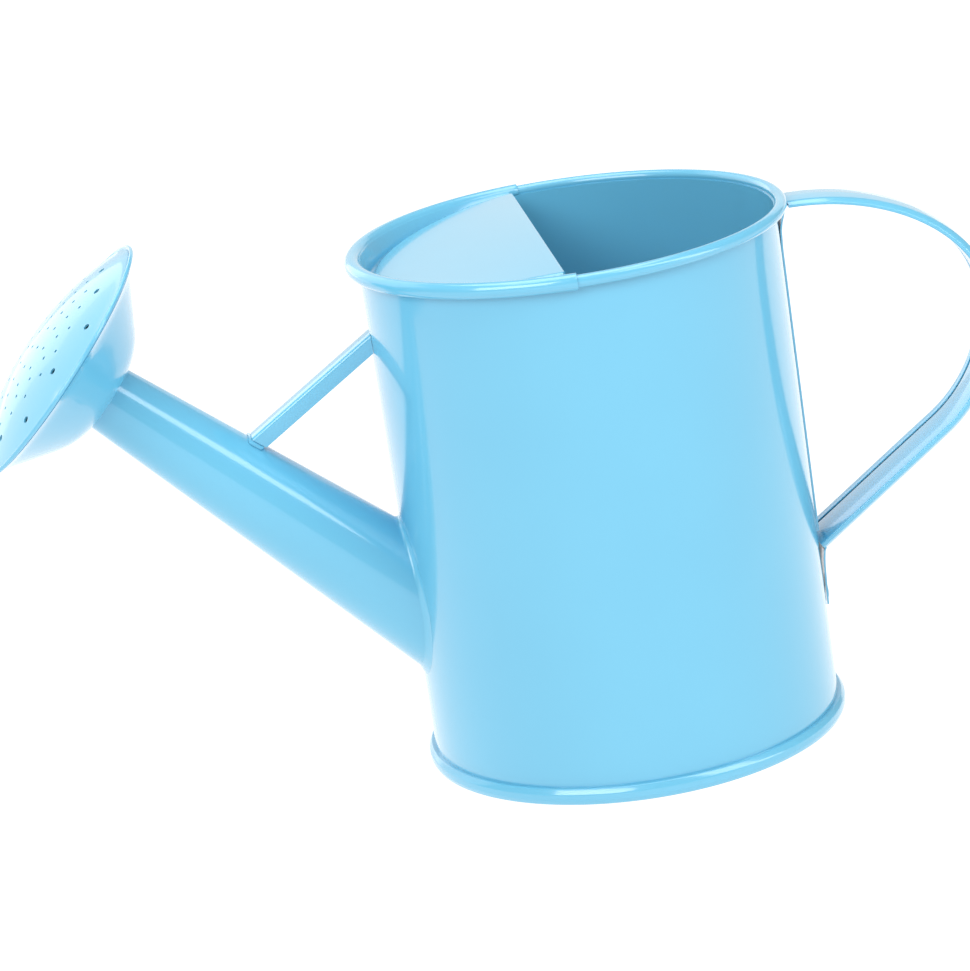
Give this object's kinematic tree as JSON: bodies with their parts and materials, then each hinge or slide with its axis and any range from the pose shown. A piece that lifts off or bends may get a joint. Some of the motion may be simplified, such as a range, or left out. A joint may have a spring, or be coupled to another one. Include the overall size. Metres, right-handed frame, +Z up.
{
  "type": "watering can",
  "caption": "Small painted sheet-steel watering can with a wired rim, half hood, braced tapered spout, perforated rose that twists on its push fit, and a strap handle.",
  "frame": {"origin": "centre of the whole can's footprint box, on the surface it stands on", "axes": "+X from the spout to the handle, +Y to the can's left as seen from the spout, +Z up"},
  "size_m": [0.243, 0.1042, 0.1372],
  "materials": {
    "sky_blue_enamel": "glossy stoved enamel on sheet steel",
    "wire_steel": "drawn wire, unpainted inside the rolled edge"
  },
  "bodies": {
    "can": {"body_wall": "sky_blue_enamel", "body_lap_seam": "sky_blue_enamel", "rim_rolled_edge": "sky_blue_enamel", "rim_wire": "wire_steel", "base_seam_ring": "sky_blue_enamel", "base_bottom": "sky_blue_enamel", "hood_panel": "sky_blue_enamel", "hood_edge_fold": "sky_blue_enamel", "hood_hem": "sky_blue_enamel", "spout_tube": "sky_blue_enamel", "spout_solder_fillet": "sky_blue_enamel", "spout_lap_seam": "sky_blue_enamel", "brace_channel": "sky_blue_enamel", "brace_foot": "sky_blue_enamel", "brace_head_tab": "sky_blue_enamel", "handle_strap": "sky_blue_enamel", "handle_leg": "sky_blue_enamel", "handle_tab": "sky_blue_enamel", "weld_leg_upper": "sky_blue_enamel", "weld_leg_lower": "sky_blue_enamel", "weld_tab_left": "sky_blue_enamel", "weld_tab_right": "sky_blue_enamel"},
    "rose": {"rose_spigot": "sky_blue_enamel", "rose_bowl": "sky_blue_enamel", "rose_lip": "sky_blue_enamel", "rose_face": "sky_blue_enamel"}
  },
  "joints": [
    {"name": "rose_twist", "type": "hinge", "parent": "can", "child": "rose", "pos_m": [-0.08854, 0, 0.10353], "axis": [-0.7266, 0, 0.6871], "continuous": true}
  ]
}
